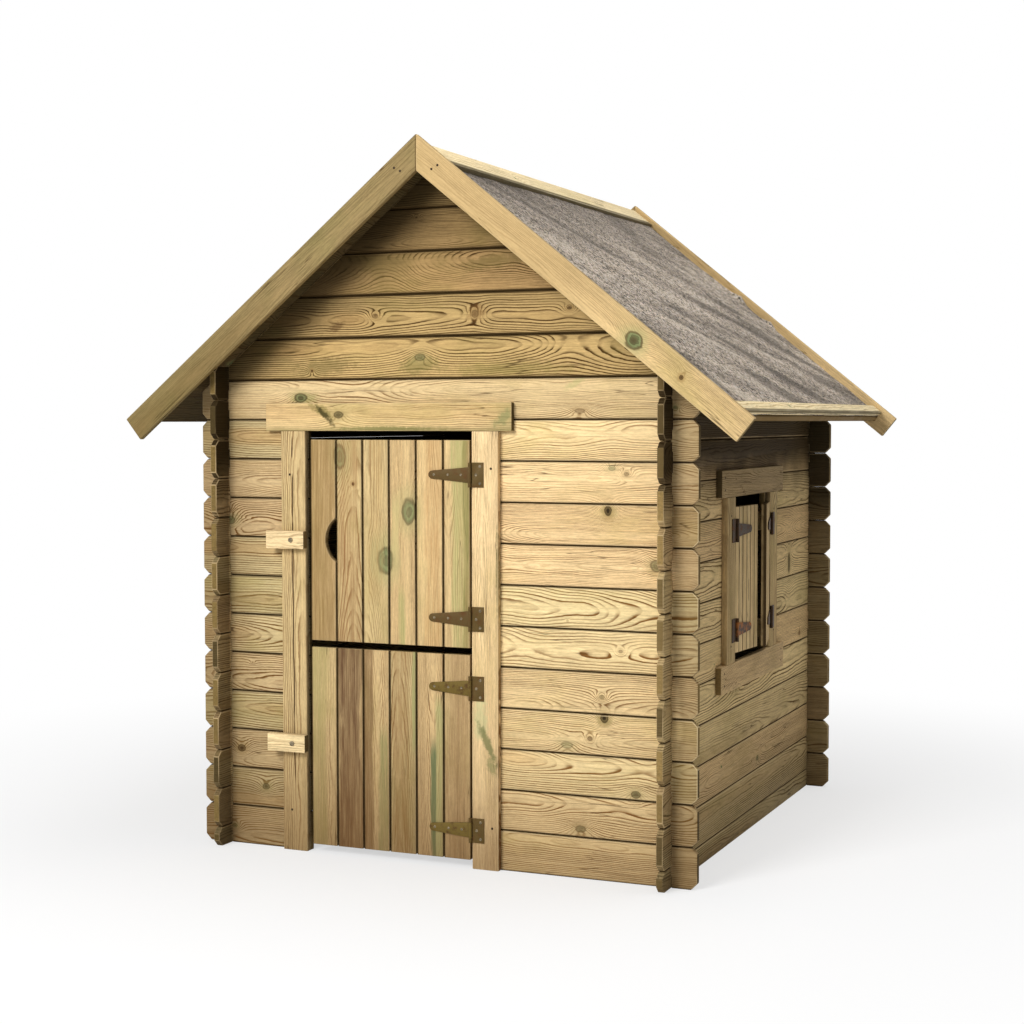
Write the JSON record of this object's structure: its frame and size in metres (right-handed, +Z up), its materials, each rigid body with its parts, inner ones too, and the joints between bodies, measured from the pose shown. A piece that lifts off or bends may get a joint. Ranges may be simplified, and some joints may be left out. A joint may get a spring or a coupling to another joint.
{
  "type": "log cabin playhouse",
  "caption": "Child's playhouse of interlocked pine boards with a gabled felt roof, a two-leaf stable door with turn buttons and a shuttered side window.",
  "frame": {"origin": "centre of the plan at ground level", "axes": "+Z up, -Y out of the door wall, +X towards the window wall"},
  "size_m": [1.602, 1.524, 1.7079],
  "materials": {
    "wall_pine": "pressure-treated pine, weathered honey brown",
    "trim_pine": "pressure-treated pine, rough sawn",
    "door_pine": "pressure-treated pine with green streaks",
    "deck_pine": "bare pine in shade",
    "roofing_felt": "grey mineral granules",
    "hinge_metal": "rusted plating",
    "screw_steel": "dull zinc"
  },
  "bodies": {
    "house": {"front_wall_left": "wall_pine", "front_wall_right": "wall_pine", "front_wall_top": "wall_pine", "front_gable": "wall_pine", "rear_wall": "wall_pine", "rear_gable": "wall_pine", "left_wall": "wall_pine", "right_wall_bottom": "wall_pine", "right_wall_front": "wall_pine", "right_wall_rear": "wall_pine", "right_wall_top": "wall_pine", "roof_deck_left": "deck_pine", "roof_deck_right": "deck_pine", "roof_felt_left": "roofing_felt", "roof_felt_right": "roofing_felt", "ridge_strip_left": "trim_pine", "ridge_strip_right": "trim_pine", "eaves_strip_left": "trim_pine", "eaves_strip_right": "trim_pine", "front_barge_left": "trim_pine", "front_barge_right": "trim_pine", "rear_barge_left": "trim_pine", "rear_barge_right": "trim_pine", "door_trim_left": "trim_pine", "door_trim_right": "trim_pine", "door_trim_head": "trim_pine", "door_hinge_plates": "hinge_metal", "turn_button_screws": "screw_steel", "window_trim_head": "trim_pine", "window_trim_sill": "trim_pine", "window_trim_front": "trim_pine", "window_trim_rear": "trim_pine", "front_shutter_boards": "door_pine", "front_shutter_ledges": "door_pine", "rear_shutter_boards": "door_pine", "rear_shutter_ledges": "door_pine", "shutter_hinge_plates": "hinge_metal", "shutter_hinge_straps": "hinge_metal"},
    "upper_door": {"upper_door_boards": "door_pine", "upper_door_ledges": "door_pine", "upper_door_straps": "hinge_metal"},
    "lower_door": {"lower_door_boards": "door_pine", "lower_door_ledges": "door_pine", "lower_door_straps": "hinge_metal"},
    "upper_button": {"upper_turn_button": "trim_pine"},
    "lower_button": {"lower_turn_button": "trim_pine"}
  },
  "joints": [
    {"name": "upper_door_hinge", "type": "hinge", "parent": "house", "child": "upper_door", "pos_m": [0.096, -0.6793, 0.75], "axis": [0, 0, 1], "range_deg": [0, 165]},
    {"name": "lower_door_hinge", "type": "hinge", "parent": "house", "child": "lower_door", "pos_m": [0.096, -0.6793, 0.26], "axis": [0, 0, 1], "range_deg": [0, 165]},
    {"name": "upper_button_turn", "type": "hinge", "parent": "house", "child": "upper_button", "pos_m": [-0.3735, -0.6873, 0.765], "axis": [0, -1, 0], "continuous": true},
    {"name": "lower_button_turn", "type": "hinge", "parent": "house", "child": "lower_button", "pos_m": [-0.3735, -0.6873, 0.268], "axis": [0, -1, 0], "continuous": true}
  ]
}
